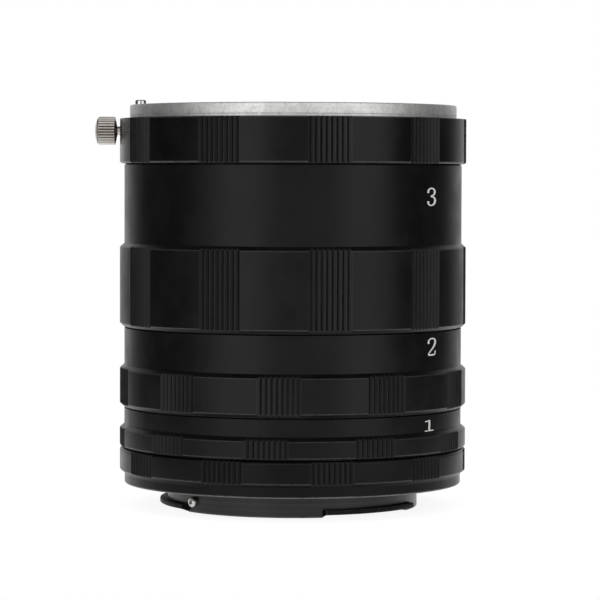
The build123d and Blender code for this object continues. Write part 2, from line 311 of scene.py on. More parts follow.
def grooves_tree():
    """Cuts groups of upright V grooves into a turned edge, down to a fixed radius."""
    tree, given, end = shape_group(
        "upright_grooves", Groups=10.0, Grooves=8.0, Pitch=0.03, Depth=0.0003,
        Ridge_Inset=0.00003, Flat=0.06, Radius=0.03, Angle=0.0,
    )
    x, y, z = split(output(tree, "GeometryNodeInputPosition"))
    across = radius_of(x, y)
    turned_by = minus(maths("ARCTAN2", y, x), given["Angle"])
    half_step = over(pi, given["Groups"])
    off = maths("ABSOLUTE", maths("WRAP", turned_by, half_step, times(half_step, -1.0)))
    half_group = times(times(given["Grooves"], given["Pitch"]), 0.5)
    inside = maths("LESS_THAN", off, plus(half_group, 0.00002))
    phase = maths("FRACT", over(off, given["Pitch"]))
    down = minus(1.0, maths("ABSOLUTE", minus(times(phase, 2.0), 1.0)))
    share = ramp(down, given["Flat"], minus(1.0, given["Flat"]), kind="LINEAR")
    deep = minus(given["Depth"], given["Ridge Inset"])
    floor_r = minus(given["Radius"], plus(given["Ridge Inset"], times(deep, share)))
    taken = times(inside, most(minus(across, floor_r), 0.0))
    shrink = over(minus(across, taken), across)
    place = vector(times(x, shrink), times(y, shrink), z)
    moved = output(tree, "GeometryNodeSetPosition", Geometry=given["Geometry"], Position=place)
    return close_shape(moved, given, end)


def thread_tree():
    """A screw thread: a V ridge that winds up a cylinder and fades at both ends."""
    tree, given, end = shape_group(
        "screw_thread", Radius=0.028, Height=0.002, Turns=3.0, Ridge=0.00025, Foot=0.0, Fade=0.08
    )
    helix = output(
        tree, "GeometryNodeCurveSpiral", Resolution=160, Rotations=given["Turns"],
        Start_Radius=given["Radius"], End_Radius=given["Radius"], Height=given["Height"],
    )
    along = add(tree, "GeometryNodeSplineParameter").outputs["Factor"]
    grown = least(over(least(along, minus(1.0, along)), given["Fade"]), 1.0)
    upright = output(tree, "GeometryNodeSetCurveNormal", Curve=helix, mode="Z_UP")
    wound = sweep(upright, times(grown, given["Ridge"]), 4)
    lift = vector(0.0, 0.0, given["Foot"])
    placed = output(tree, "GeometryNodeTransform", Geometry=wound, Translation=lift)
    joined = add(tree, "GeometryNodeJoinGeometry", placed)
    put(joined.inputs[0], given["Geometry"])
    return close_shape(joined.outputs[0], given, end)


def circle_copies_tree():
    """Copies of one small part, evenly spaced round the axis."""
    tree, given, end = shape_group("copies_on_circle", Count=3, Radius=0.026, Angle=0.0, Height=0.0)
    ring = output(tree, "GeometryNodeMeshCircle", Vertices=given["Count"], Radius=given["Radius"])
    lift = vector(0.0, 0.0, given["Height"])
    turn = vector(0.0, 0.0, given["Angle"])
    placed = output(tree, "GeometryNodeTransform", Geometry=ring, Translation=lift, Rotation=turn)
    step = over(2 * pi, given["Count"])
    angle = plus(given["Angle"], times(output(tree, "GeometryNodeInputIndex"), step))
    part, turn = given["Geometry"], vector(0.0, 0.0, angle)
    copied = output(tree, "GeometryNodeInstanceOnPoints", Points=placed, Instance=part, Rotation=turn)
    return close_shape(copied, given, end)


def stroke_tree():
    """Engraved figure: strokes with round ends, wrapped on a barrel."""
    tree, given, end = shape_group(
        "engraved_figure", Radius=0.03, Angle=0.0, Height=0.0, Stroke=0.0004, Stretch=1.0, Relief=0.00002
    )
    half = times(given["Stroke"], 0.5)
    step = times(given["Stroke"], 0.1)
    fine = output(tree, "GeometryNodeResampleCurve", Curve=given["Geometry"], Length=step, mode="LENGTH")
    done = add(tree, "GeometryNodeSplineParameter").outputs["Length"]
    whole = add(tree, "GeometryNodeSplineLength").outputs["Length"]
    part = minus(1.0, least(over(least(done, minus(whole, done)), half), 1.0))
    round_end = maths("SQRT", minus(1.0, times(part, part)))
    pen = times(half, output(tree, "GeometryNodeInputRadius"))
    drawn = sweep(fine, times(pen, most(round_end, 0.05)), 10)
    u, v, w = split(output(tree, "GeometryNodeInputPosition"))
    angle = plus(given["Angle"], over(times(u, given["Stretch"]), given["Radius"]))
    out = plus(given["Radius"], times(over(w, half), given["Relief"]))
    wrapped = vector(
        times(out, maths("COSINE", angle)), times(out, maths("SINE", angle)), plus(given["Height"], v)
    )
    return close_shape(output(tree, "GeometryNodeSetPosition", Geometry=drawn, Position=wrapped), given, end)


# ---- meshes ----

def new_object(name, data):
    piece = bpy.data.objects.new(name, data)
    bpy.context.collection.objects.link(piece)
    return piece


def mesh_piece(name, points, faces):
    """Piece from points in millimetres."""
    mesh = bpy.data.meshes.new(name)
    mesh.from_pydata([(x * MM, y * MM, z * MM) for x, y, z in points], [], faces)
    mesh.validate()
    return new_object(name, mesh)


def stitch(low, low_angles, high, high_angles):
    """Faces between two closed rows of points whose angles differ."""
    faces = []
    i = j = 0
    low_ends = [*low_angles, low_angles[0] + 360]
    high_ends = [*high_angles, high_angles[0] + 360]
    while i < len(low) or j < len(high):
        here = low[i % len(low)], high[j % len(high)]
        if j == len(high) or (i < len(low) and low_ends[i + 1] <= high_ends[j + 1]):
            i += 1
            faces.append((here[0], low[i % len(low)], here[1]))
        else:
            j += 1
            faces.append((here[0], high[j % len(high)], here[1]))
    return faces


def turned(name, bands, closed=True):
    """Turned mesh round Z. A band is its angles with its rows, each row a radius and a height,
    or a list with one pair for each angle. A radius of zero is a point on the axis."""
    points = []
    faces = []
    rows = []
    for angles, band in bands:
        for row in band:
            pairs = row if isinstance(row, list) else [row] * len(angles)
            spots = angles[:1] if pairs[0][0] == 0 else angles
            rows.append((range(len(points), len(points) + len(spots)), spots))
            for a, (radius, height) in zip(map(radians, spots), pairs):
                points.append((radius * cos(a), radius * sin(a), height))
    pairs = list(zip(rows, rows[1:]))
    if closed:
        pairs.append((rows[-1], rows[0]))
    for (low, low_angles), (high, high_angles) in pairs:
        if low_angles is high_angles:
            for j in range(len(low)):
                k = (j + 1) % len(low)
                faces.append((low[j], low[k], high[k], high[j]))
        elif len(low) == 1:
            faces.extend((low[0], high[(j + 1) % len(high)], high[j]) for j in range(len(high)))
        elif len(high) == 1:
            faces.extend((low[j], low[(j + 1) % len(low)], high[0]) for j in range(len(low)))
        else:
            faces.extend(stitch(low, low_angles, high, high_angles))
    return mesh_piece(name, points, faces)


def soften(line, steps=3):
    """Profile whose corners are rounded: a third number in a point is how far the rounding
    reaches along each side."""
    out = []
    for k, point in enumerate(line):
        if len(point) == 2 or k in (0, len(line) - 1):
            out.append(tuple(point[:2]))
            continue
        here = np.array(point[:2])
        reach = point[2]
        sides = [np.array(line[other][:2]) - here for other in (k - 1, k + 1)]
        lengths = [np.linalg.norm(side) for side in sides]
        back, ahead = (side / length for side, length in zip(sides, lengths))
        start = here + back * reach
        end = here + ahead * reach
        parts = [step / steps for step in range(steps + 1)]
        spots = [(1 - t) ** 2 * start + 2 * t * (1 - t) * here + t**2 * end for t in parts]
        if lengths[0] > 2 * reach + support_room:
            spots.insert(0, start + back * support_row)
        if lengths[1] > 2 * reach + support_room:
            spots.append(end + ahead * support_row)
        out.extend((float(r), float(z)) for r, z in spots)
    return out


def with_rows(line, level):
    """Adds rows on slopes that rise above a radius, where the grooves run out."""
    out = [line[0]]
    for (r0, z0), (r1, z1) in zip(line, line[1:]):
        low, high = sorted((r0, r1))
        parts = []
        if high - low > row_step and z0 != z1 and high > level:
            if low < level:
                parts.append((level - r0) / (r1 - r0))
            start = max(level, low)
            steps = int((high - start) / row_step) + 1
            parts.extend((start + (high - start) * k / steps - r0) / (r1 - r0) for k in range(1, steps))
        for part in sorted(parts) + [1.0]:
            out.append((r0 + (r1 - r0) * part, z0 + (z1 - z0) * part))
    return out


def even_angles(start, count):
    return [start + k * 360 / count for k in range(count)]


def grip_angles(centre):
    """Angles of a gripped ring: close together in the grooves, wide in between."""
    half = grooves_per_group * groove_pitch / 2
    step = 360 / groove_groups
    lead = 0.08
    margin = 0.25
    between = 12
    flank = (0.03, 0.25, 0.47, 0.53, 0.75, 0.97)
    gap = step - 2 * half - 2 * lead - 2 * margin
    out = []
    for group in range(groove_groups):
        start = centre + group * step - half
        stop = start + 2 * half
        out.extend((start - lead - margin, start - lead, start))
        for groove in range(grooves_per_group):
            out.extend(start + (groove + part) * groove_pitch for part in flank)
        out.extend((stop, stop + lead, stop + lead + margin))
        out.extend(stop + lead + margin + gap * k / between for k in range(1, between))
    return out


def keep_mesh(piece):
    """Turns a piece with its modifiers into a plain mesh."""
    bpy.context.view_layer.update()
    live = piece.evaluated_get(bpy.context.evaluated_depsgraph_get())
    mesh = bpy.data.meshes.new_from_object(live)
    mesh.name = piece.name
    if piece.type == "MESH":
        piece.modifiers.clear()
        piece.data = mesh
        return piece
    plain = new_object(piece.name + "_mesh", mesh)
    bpy.data.objects.remove(piece)
    return plain


def apply_tree(piece, tree, **values):
    """Runs a shape tree on a piece and keeps the plain mesh."""
    modifier = piece.modifiers.new(tree.name, "NODES")
    modifier.node_group = tree
    for item in tree.interface.items_tree:
        label = item.name.replace(" ", "_")
        if item.in_out == "INPUT" and label in values:
            modifier[item.identifier] = values[label]
    return keep_mesh(piece)


def cut(piece, cutter):
    """Takes a cutter away from a piece."""
    modifier = piece.modifiers.new("cut", "BOOLEAN")
    modifier.operation = "DIFFERENCE"
    modifier.solver = "EXACT"
    modifier.object = cutter
    keep_mesh(piece)
    bpy.data.objects.remove(cutter)


def loft(name, sections):
    """Solid through a row of closed outlines, in millimetres."""
    around = len(sections[0])
    last = around * (len(sections) - 1)
    faces = [tuple(reversed(range(around))), tuple(range(last, last + around))]
    for low in range(0, last, around):
        for k in range(low, low + around):
            j = low + (k - low + 1) % around
            faces.append((k, j, j + around, k + around))
    return mesh_piece(name, [point for section in sections for point in section], faces)


def prism(name, outline, low, high):
    """Upright solid on a flat outline."""
    return loft(name, [[(x, y, z) for x, y in outline] for z in (low, high)])


def shift(piece, x, y, z, turn=Matrix()):
    """Turns a mesh about the origin and then moves it, in millimetres."""
    piece.data.transform(Matrix.Translation((x * MM, y * MM, z * MM)) @ turn)


def slot_outline(length, width, x=0.0, y=0.0, steps=12):
    """Outline of a slot along x, centred on a point."""
    half = width / 2
    reach = length / 2 - half
    out = []
    for centre, start in ((reach, -90), (-reach, 90)):
        for k in range(steps + 1):
            a = radians(start + 180 * k / steps)
            out.append((centre + half * cos(a) + x, half * sin(a) + y))
    return out


def hole_outline(radius, x, y=0.0, steps=12):
    """Circle with the points of a very short slot."""
    return slot_outline(2 * radius, 2 * radius - 0.0001, x, y, steps)


def sector_outline(inner, outer, centre, arc, steps=24):
    """Outline of part of a ring."""
    angles = [radians(centre - arc / 2 + arc * k / steps) for k in range(steps + 1)]
    out = [(outer * cos(a), outer * sin(a)) for a in angles]
    return out + [(inner * cos(a), inner * sin(a)) for a in reversed(angles)]


def polish(piece, sharp=sharp_angle, sheltered=None, grip_angle=None):
    """Sets smooth and sharp edges, evens the normals and marks the edges that wear."""
    piece.data.shade_smooth()
    piece.data.set_sharp_from_angle(angle=radians(sharp))
    even = piece.modifiers.new("even", "WEIGHTED_NORMAL")
    even.keep_sharp = True
    even.weight = 80
    keep_mesh(piece)
    mark_wear(piece.data, sheltered, grip_angle)


def read(items, name, width=1, kind=np.float32):
    """Numbers of a mesh, in rows where each item has more than one."""
    out = np.empty(width * len(items), dtype=kind)
    items.foreach_get(name, out)
    return out.reshape(-1, width) if width > 1 else out


def mark_wear(mesh, sheltered, grip_angle):
    """Stores how sharply the surface turns outwards at each point, less on a grip's ridges and
    not above the height from which another ring covers it."""
    count = len(mesh.vertices)
    corners = read(mesh.loops, "vertex_index", kind=np.int32)
    totals = read(mesh.polygons, "loop_total", kind=np.int32)
    each = np.repeat(read(mesh.polygons, "normal", 3), totals, axis=0)
    places = read(mesh.vertices, "co", 3)
    first, second = read(mesh.edges, "vertices", 2, np.int32).T
    mean = np.zeros((count, 3), dtype=np.float32)
    np.add.at(mean, corners, each)
    mean /= np.maximum(np.linalg.norm(mean, axis=1, keepdims=True), 1e-9)
    match = np.ones(count, dtype=np.float32)
    np.minimum.at(match, corners, np.einsum("ij,ij->i", each, mean[corners]))
    along = places[second] - places[first]
    lengths = np.maximum(np.linalg.norm(along, axis=1), 1e-9)
    shortest = np.ones(count, dtype=np.float32)
    lean = np.zeros(count, dtype=np.float32)
    for ends, sign in ((first, 1), (second, -1)):
        np.minimum.at(shortest, ends, lengths)
        np.add.at(lean, ends, sign * np.einsum("ij,ij->i", along, mean[ends]) / lengths)
    turn = np.arccos(np.clip(match, -1, 1)) / np.maximum(shortest / MM, 0.03)
    sharp = np.clip((turn - wear_start) / wear_range, 0, 1) * (lean < -0.02)
    level = np.ones(count, dtype=np.float32)
    if grip_angle is not None:
        step = 360 / groove_groups
        angles = np.degrees(np.arctan2(places[:, 1], places[:, 0]))
        off = (angles - grip_angle + step / 2) % step - step / 2
        grooved = np.abs(off) < grooves_per_group * groove_pitch / 2 + 0.1
        outside = np.hypot(places[:, 0], places[:, 1]) > (grip_r - groove_depth - 0.05) * MM
        level[grooved & outside] = ridge_wear
        level[~grooved & outside & (mean[:, 2] > 0.15)] = upper_edge_wear
    if sheltered is not None:
        level *= places[:, 2] < sheltered * MM
    layer = mesh.attributes.new("wear", "FLOAT", "POINT")
    layer.data.foreach_set("value", (sharp * level).astype(np.float32))


def clothe(piece, material):
    piece.data.materials.clear()
    piece.data.materials.append(material)


def dress(piece, material, body, slot, *nodes, sharp=sharp_angle):
    """Finishes a piece, which may take the place of CAD nodes."""
    polish(piece, sharp)
    clothe(piece, material)
    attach(piece, body)
    if nodes:
        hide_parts(*nodes)


# ---- shader groups ----

def shader_group(name, outputs, **values):
    """Group that makes plain values from a place and some numbers."""
    ends = {label: "NodeSocketFloat" for label in outputs}
    return new_group(name, "ShaderNodeTree", {"Vector": "NodeSocketVector", **values}, ends)


def turning_group():
    """Fine circular tool marks of a turned face, from the radius and the height."""
    tree, given, end = shader_group("tool_marks", ("Height", "Bands"), Scale=8000.0, Waver=0.00004)
    x, y, z = split(given["Vector"])
    waver = times(noise(given["Vector"], 60.0, 1.0), given["Waver"])
    line = vector(plus(radius_of(x, y), waver), plus(z, waver), 0.0)
    put(end["Height"], noise(line, given["Scale"], 2.0, 0.6))
    put(end["Bands"], noise(line, times(given["Scale"], 0.18), 1.0))
    return tree


def wear_group():
    """Where handling has rubbed an edge bright, broken up by noise."""
    tree, given, end = shader_group("rubbed_edges", ["Mask"], Amount=0.5, Scale=900.0)
    edge = add(tree, "ShaderNodeAttribute", attribute_name="wear").outputs["Fac"]
    patch = ramp(noise(given["Vector"], given["Scale"], 3.0, 0.65), 0.15, 0.55)
    put(end["Mask"], times(times(edge, patch), given["Amount"]))
    return tree


def grain_group():
    """Fine grain with slower blotches, for coated and cast surfaces."""
    tree, given, end = shader_group(
        "surface_grain", ("Grain", "Blotches"), Grain_Scale=9000.0, Blotch_Scale=180.0
    )
    put(end["Grain"], noise(given["Vector"], given["Grain Scale"], 2.0, 0.7))
    put(end["Blotches"], noise(given["Vector"], given["Blotch Scale"], 4.0, 0.6))
    return tree


def dust_group():
    """A few pale specks of dust."""
    tree, given, end = shader_group("dust_specks", ["Mask"], Scale=220.0, Size=0.03, Share=0.06)
    cells = add(tree, "ShaderNodeTexVoronoi", Vector=given["Vector"], Scale=given["Scale"]).outputs
    red = output(tree, "ShaderNodeSeparateColor", cells["Color"])
    chosen = maths("LESS_THAN", red, given["Share"])
    rim = times(given["Size"], 1.6)
    spot = ramp(cells["Distance"], given["Size"], rim, 1.0, 0.0, kind="LINEAR")
    put(end["Mask"], times(chosen, spot))
    return tree


tool_marks = turning_group()
rubbed_edges = wear_group()
surface_grain = grain_group()
dust_specks = dust_group()


# ---- materials ----

def empty_tree(owner):
    owner.use_nodes = True
    owner.node_tree.nodes.clear()
    return owner.node_tree


def blank_material(name):
    """Material with the inputs of its shader and its coordinates, and nothing else."""
    material = bpy.data.materials.new(name)
    tree = empty_tree(material)
    shader = add(tree, "ShaderNodeBsdfPrincipled")
    add(tree, "ShaderNodeOutputMaterial", Surface=shader.outputs[0])
    return material, shader.inputs, add(tree, "ShaderNodeTexCoord").outputs["Object"]


def use_group(group, place, **values):
    """Outputs of a shader group at a place."""
    return add(place.id_data, "ShaderNodeGroup", node_tree=group, Vector=place, **values).outputs


def mix(share, first, second):
    """Colour between two others."""
    node = add(share.id_data, "ShaderNodeMix", data_type="RGBA", Factor=share)
    put(node.inputs[6], first)
    put(node.inputs[7], second)
    return node.outputs[2]


def bump(height, distance, strength, normal=None):
    names = {"Strength": strength, "Distance": distance, "Height": height, "Normal": normal}
    return output(height.id_data, "ShaderNodeBump", **names)


def scaled(colour, factor):
    return tuple(factor * part for part in colour)


def grey(level, blue=0.0):
    return level, level, level + blue


def anodised(name, dark, light, worn, rough, specular, blue=0.0001, lines=0.0):
    """Black anodised aluminium over turned metal. Its coat is mottled between two greys."""
    material, shader, place = blank_material(name)
    grain = use_group(surface_grain, place)
    marks = use_group(tool_marks, place, Scale=9000.0)
    edges = use_group(rubbed_edges, place, Amount=0.8)
    dust = use_group(dust_specks, place)
    body = mix(ramp(grain["Blotches"], 0.35, 0.65), grey(dark, blue), grey(light, blue))
    if lines:
        coarse = use_group(tool_marks, place, Scale=3200.0)
        body = mix(ramp(coarse["Height"], 0.52, 0.66, 0.0, lines), body, scaled(grey(light, blue), 5))
    rubbed = mix(edges["Mask"], body, worn)
    put(shader["Base Color"], mix(times(dust["Mask"], 0.5), rubbed, (0.3, 0.3, 0.29)))
    put(shader["Roughness"], ramp(grain["Blotches"], 0.3, 0.7, rough - 0.04, rough + 0.05))
    put(shader["Specular IOR Level"], specular)
    low = bump(grain["Grain"], 0.000002, 0.5)
    put(shader["Normal"], bump(marks["Height"], 0.000002, 0.5, low))
    return material


def bare_metal(name, colour, shade, rough, marks_scale, marks_depth, mapping=None, mottle=0.0, valley=None):
    """Bare turned metal with tool marks and slow stains and spots, darker in its valleys."""
    material, shader, place = blank_material(name)
    if mapping:
        names = {"Vector": place, "Location": mapping[0], "Rotation": mapping[1]}
        place = output(place.id_data, "ShaderNodeMapping", **names)
    grain = use_group(surface_grain, place, Grain_Scale=5000.0, Blotch_Scale=260.0)
    marks = use_group(tool_marks, place, Scale=marks_scale)
    skin = mix(ramp(grain["Blotches"], 0.4, 0.68), colour, shade)
    skin = mix(ramp(marks["Bands"], 0.45, 0.75, 0.0, 0.35), skin, shade)
    if mottle:
        spots = use_group(surface_grain, place, Grain_Scale=2600.0, Blotch_Scale=900.0)
        skin = mix(ramp(spots["Grain"], 0.42, 0.72, 0.0, mottle), skin, scaled(shade, 0.62))
        skin = mix(ramp(spots["Blotches"], 0.4, 0.7, 0.0, mottle), skin, scaled(shade, 0.62))
    # Darker towards the foot of the valleys
    if valley:
        x, y = split(place)[:2]
        across = radius_of(x, y)
        foot, top = (level * MM for level in valley)
        outer = ramp(across, foot - 0.00008, foot - 0.00006)
        skin = mix(times(outer, ramp(across, foot, top, 0.95, 0.0)), skin, (0.012, 0.01, 0.009))
    put(shader["Base Color"], skin)
    put(shader["Roughness"], ramp(marks["Height"], 0.3, 0.7, rough - 0.05, rough + 0.07))
    put(shader["Metallic"], 1.0)
    low = bump(grain["Grain"], 0.000002, 0.4)
    put(shader["Normal"], bump(marks["Height"], marks_depth, 0.6, low))
    return material


def painted(name):
    """White paint in the engraved figures, slightly uneven."""
    material, shader, place = blank_material(name)
    grain = use_group(surface_grain, place, Grain_Scale=7000.0, Blotch_Scale=2200.0)
    put(shader["Base Color"], mix(grain["Blotches"], (0.78, 0.77, 0.74), (0.5, 0.49, 0.47)))
    put(shader["Roughness"], ramp(grain["Grain"], 0.3, 0.7, 0.5, 0.7))
    put(shader["Normal"], bump(grain["Grain"], 0.000005, 0.6))
    return material


# Each black has a dark and a light grey, the colour of its worn edges, a roughness and a
# specular level. On the bayonet its tool lines show too.
worn_ring = (0.09, 0.088, 0.085)
black = anodised("black_anodised", 0.002, 0.0036, worn_ring, 0.34, 0.22)
ring_black = anodised("ring_black", 0.0018, 0.0032, (0.11, 0.108, 0.104), 0.27, 0.21)
# Camera ring black: a copy with weaker gloss, painted shade for light that falls off towards the bottom of
# the stack
foot_black = anodised("foot_black", 0.0032, 0.0046, worn_ring, 0.3, 0.12)
# Short tube black: a copy with weaker gloss, painted shade for light that falls off towards the bottom of
# the stack
short_black = anodised("short_black", 0.0032, 0.0048, worn_ring, 0.34, 0.17)
bayonet_black = anodised("bayonet_black", 0.006, 0.009, (0.2, 0.196, 0.19), 0.34, 0.42, 0.0, lines=0.4)
# Near black for the lugs: painted shadow of the flange on them
lug_black = anodised("lug_black", 0.0008, 0.0015, (0.06, 0.058, 0.055), 0.45, 0.07, 0.0)
bore_black = anodised("bore_black", 0.004, 0.007, grey(0.016), 0.6, 0.2, 0.0)
plate_metal = bare_metal(
    "machined_plate", (0.96, 0.96, 0.95), (0.86, 0.86, 0.85), 0.5, 9000.0, 0.000003, mottle=0.38
)
knob_metal = bare_metal(
    "knob_nickel", (0.74, 0.705, 0.66), (0.62, 0.585, 0.545), 0.28, 7000.0, 0.000001,
    mapping=((-knob_z * MM, 0.0, 0.0), (0.0, pi / 2, 0.0)),
    valley=(knob_r - knurl_depth, knob_r - knurl_dark_depth),
)
polished = bare_metal("polished_pin", grey(0.68), grey(0.6), 0.09, 6000.0, 0.0000005)
steel = bare_metal("screw_steel", (0.62, 0.61, 0.59), (0.45, 0.44, 0.43), 0.24, 6000.0, 0.000003)
spring_steel = bare_metal("spring_strip", grey(0.5), (0.36, 0.36, 0.37), 0.3, 5000.0, 0.000003)
paint = painted("figure_paint")

grooves = grooves_tree()
threads = thread_tree()
copies = circle_copies_tree()
figures = stroke_tree()


# ---- rings ----

def spigot_rows(top):
    """From the shoulder up the spigot and over its tip to the bore."""
    tip = top + spigot_length
    return soften([
        (barrel_r - 0.6, top), (thread_core, top, 0.05), (thread_core, tip - 0.2, 0.05),
        (thread_core - spigot_taper, tip, 0.08), (bore_r + 0.3, tip),
    ])


def socket_rows(base, top):
    """From the bore out over the socket's roof and down to its mouth."""
    return soften([
        (bore_r + 0.3, top), (thread_root, top, 0.05), (thread_root, base + 0.25, 0.05),
        (thread_root + 0.2, base, 0.05), (thread_root + 0.3, base),
    ])


def foot_rows(base, chamfer):
    """Underside of a ring's foot: it touches inside and slopes up to a slit outside."""
    return [
        (thread_root + 0.35, base), (barrel_r - 0.35, base),
        (grip_r - chamfer + foot_slit, base + foot_slit, 0.05), (grip_r, base + chamfer, 0.12),
    ]


def bore_rows(low, high):
    """Down a bore from its top edge: sharp ridges that keep it dark."""
    top = high - edge_break
    count = int((top - low) / baffle_pitch)
    step = (top - low) / count
    rows = [(bore_r + edge_break, high)]
    for k in range(count):
        rows += [(bore_r, top - k * step), (bore_r + baffle_depth, top - (k + 0.5) * step)]
    return rows + [(bore_r, low)]


def ring_thread(name, radius, foot, height, body):
    """Screw thread on a spigot or in a socket."""
    piece = new_object(name, bpy.data.meshes.new(name))
    apply_tree(
        piece, threads, Radius=radius * MM, Height=height * MM, Turns=height / thread_pitch,
        Ridge=thread_height * MM, Foot=foot * MM, Fade=thread_fade, Material=black,
    )
    dress(piece, black, body, "black_anodised", sharp=thread_sharp_angle)


def spigot_thread(node, top, body):
    height = spigot_length - thread_clear - spigot_taper
    ring_thread(node + "_spigot_thread", thread_core, top + thread_clear, height, body)


def socket_thread(node, base, body):
    ring_thread(node + "_socket_thread", thread_root, base + 0.4, socket_depth - 0.8, body)


def finish_ring(piece, node, body):
    """Gives the bore, the bayonet and its lugs their own blacks, then rides the piece."""
    piece.data.materials.clear()
    # The camera ring and the short tube take copies of the black with weaker gloss, painted shade for light
    # that falls off towards the bottom
    outer = {"camera_ring": foot_black, "tube_1": short_black, "lens_ring": ring_black}.get(node, black)
    for material in (outer, bore_black, bayonet_black, lug_black):
        piece.data.materials.append(material)
    for face in piece.data.polygons:
        x, y, z = face.center
        across = (x * x + y * y) ** 0.5
        # The lugs take the near black, which is painted shadow under the flange
        if z < (lug_top + 0.05) * MM and across > (bayonet_r + 0.05) * MM:
            face.material_index = 3
        elif z < (flange_base + seat_relief_depth + 0.01) * MM:
            face.material_index = 1 if across < (bayonet_bore_r + 0.1) * MM else 2
        else:
            inner = across < (bore_r + 0.6) * MM and abs(face.normal.z) <= 0.9
            face.material_index = 1 if inner else 0
    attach(piece, body)
    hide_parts(node)


def gripped_ring(node, body, angle, outside, inside, lugged=(), cutters=(), sheltered=None):
    """A ring with its grip grooves, from its outer and inner profiles."""
    wide = grip_angles(angle)
    skin = with_rows(soften(outside), grip_r - groove_depth - 0.02)
    piece = turned(node + "_body", [(wide, skin), (even_angles(wide[0], inner_count), inside), *lugged])
    apply_tree(
        piece, grooves, Groups=float(groove_groups), Grooves=float(grooves_per_group),
        Pitch=radians(groove_pitch), Depth=groove_depth * MM, Ridge_Inset=ridge_inset * MM,
        Flat=groove_flat, Radius=grip_r * MM, Angle=radians(angle), Material=black,
    )
    for cutter in cutters:
        cut(piece, cutter)
    polish(piece, sheltered=sheltered, grip_angle=angle)
    finish_ring(piece, node, body)


def tube(node, body, angle, chamfer):
    """One tube: gripped foot, plain barrel, socket below and spigot above."""
    base, tip = span(node)
    top = tip - spigot_length
    roof = base + socket_depth
    grip_top = base + (top - base - shoulder_height) / 2 + shoulder_offset
    outside = foot_rows(base, chamfer) + [
        (grip_r, grip_top, 0.08), (barrel_r, grip_top + shoulder_height, 0.1),
        (barrel_r, top - gap_chamfer), (barrel_r - 0.35, top), (barrel_r - 0.55, top),
    ]
    inside = spigot_rows(top) + bore_rows(roof + 0.1, tip)
    inside += [(bore_r + edge_break, roof)] + socket_rows(base, roof)
    gripped_ring(node, body, angle, outside, inside, sheltered=top - 0.3)
    spigot_thread(node, top, body)
    socket_thread(node, base, body)


tube("tube_1", "short_tube", -98.4, 0.5)
tube("tube_2", "middle_tube", -94.3, 0.8)
tube("tube_3", "long_tube", -77.9, 0.8)


# Round the bayonet and in the plate, the profile changes from plain to lug by the angle
def lug_share(angle, arc):
    """1 inside a lug, 0 outside, with a short slope at each end."""
    best = 0.0
    for centre in lug_angles:
        off = abs((angle - centre + 180) % 360 - 180)
        best = max(best, min(max((arc / 2 - off) / lug_end_arc + 0.5, 0.0), 1.0))
    return best


def lugged_band(start, arc, plain, lug):
    """Angles, with more of them at the ends of the lugs, and rows that change by the angle."""
    spots = {round((angle - start) % 360, 4) for angle in even_angles(start, lugged_count)}
    for centre in lug_angles:
        for side in (-1, 1):
            for part in (-0.5, -0.25, 0.0, 0.25, 0.5):
                spots.add(round((centre + side * (arc / 2 + part * lug_end_arc) - start) % 360, 4))
    angles = [start + spot for spot in sorted(spots)]
    shares = [lug_share(angle, arc) for angle in angles]
    rows = []
    for (r0, z0), (r1, z1) in zip(plain, lug):
        rows.append([(r0 + (r1 - r0) * share, z0 + (z1 - z0) * share) for share in shares])
    return angles, rows


def camera_ring():
    """Ring with the male bayonet, its flange, a grip, a web inside and a spigot above."""
    top = span("camera_ring")[1] - spigot_length
    outside = [
        (seat_relief_r + 0.4, flange_base), (flange_r, flange_base, 0.25), (flange_r, flange_top, 0.12),
        (grip_r, camera_grip_base, 0.12), (grip_r, top - camera_top_chamfer, 0.12),
        (grip_r - camera_top_chamfer, top, 0.08), (barrel_r - 0.45, top),
    ]
    inside = spigot_rows(top) + bore_rows(web_top + 0.4, top + spigot_length)
    inside += [(bore_r, web_top), (bayonet_bore_r + 0.6, web_top)]
    mouth_r = bayonet_bore_r + lip_break
    seat = flange_base + seat_relief_depth
    above = [(mouth_r, web_top), (bayonet_bore_r, web_top - lip_break), (bayonet_bore_r, 3.0)]
    plain = [(bayonet_bore_r, lip_break), (mouth_r, 0.0), (bayonet_r - lip_break, 0.0)]
    plain += [(bayonet_r, z) for z in (lip_break, 0.3, 0.6, 1.0, 1.2, 1.45, 1.6)]
    lug = [(bayonet_bore_r, lug_base + lip_break), (mouth_r, lug_base), (bayonet_r, lug_base)]
    lug += [(lug_r - 0.2, lug_base), (lug_r - 0.06, lug_base + 0.06), (lug_r, lug_base + 0.2)]
    lug += [(lug_r, lug_top - 0.2), (lug_r - 0.06, lug_top - 0.06), (lug_r - 0.2, lug_top)]
    lug += [(bayonet_r, lug_top + 0.02)]
    below = [(bayonet_r, seat), (seat_relief_r, seat), (seat_relief_r, flange_base)]
    start = grip_angles(camera_grip_angle)[0]
    lower = lugged_band(start, lug_arc, above + plain + below, above + lug + below)
    outline = slot_outline(notch_length, notch_width, -pin_circle_r)
    notch = prism("notch", outline, flange_base - 1, flange_base + notch_depth)
    gripped_ring(
        "camera_ring", "camera_side", camera_grip_angle, outside, inside, [lower], [notch], top - 0.1
    )
    spigot_thread("camera_ring", top, "camera_side")


camera_ring()

# Turns +Z towards -X, where the knob is
towards_knob = Matrix(((0, 0, -1, 0), (0, 1, 0, 0), (1, 0, 0, 0), (0, 0, 0, 1)))


